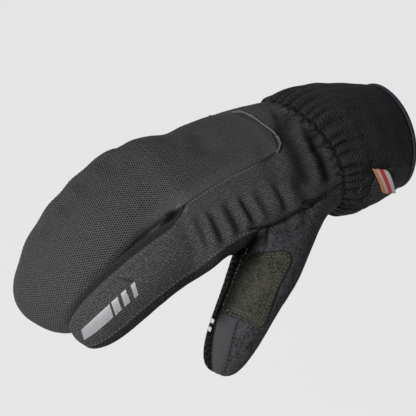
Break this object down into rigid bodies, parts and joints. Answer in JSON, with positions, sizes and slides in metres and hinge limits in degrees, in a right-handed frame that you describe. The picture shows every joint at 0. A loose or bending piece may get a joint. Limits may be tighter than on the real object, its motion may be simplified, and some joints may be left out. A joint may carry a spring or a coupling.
{
  "type": "lobster claw mitt",
  "caption": "Right-hand winter cycling mitt with one wide lobe for three fingers, a separate index finger, a thumb and a gathered cuff, worn on a hand.",
  "frame": {"origin": "the middle of the cuff's opening, where the wrist goes in", "axes": "+X out of the cuff along the forearm, with the fingers towards -X; +Z out of the back of the hand; the thumb is on the -Y side"},
  "size_m": [0.2665, 0.1496, 0.1151],
  "materials": {
    "mesh_cloth": "matte charcoal softshell with small hexagonal pinholes",
    "softshell": "matte black finely ribbed softshell",
    "palm_suede": "matte black synthetic suede",
    "thumb_suede": "matte charcoal brushed suede with a short nap",
    "grip_cloth": "black cloth with raised rubbery grip lines",
    "knit": "grey touchscreen knit",
    "patch_suede": "olive grey brushed suede",
    "binding_tape": "black elastic binding tape with a slight sheen",
    "reflective_print": "silver reflective heat-transfer print",
    "white_print": "white silicone print",
    "label_tape": "woven grey label tape with a plain red stripe",
    "piping_cord": "grey cord with a slight sheen"
  },
  "bodies": {
    "root": {"mitt_back": "mesh_cloth", "hand_back": "softshell", "palm": "palm_suede", "finger_gusset": "softshell", "index_side": "softshell", "thumb_back": "thumb_suede", "thumb_palm": "grip_cloth", "thumb_touch_panel": "knit", "thumb_patch": "patch_suede", "cuff_back": "softshell", "cuff_palm": "softshell", "cuff_binding": "binding_tape", "reflective_bar_1": "reflective_print", "reflective_bar_2": "reflective_print", "reflective_bar_3": "reflective_print", "reflective_bar_4": "reflective_print", "thumb_bar_1": "white_print", "thumb_bar_2": "white_print", "label": "label_tape", "tongue_piping": "piping_cord"}
  },
  "joints": []
}
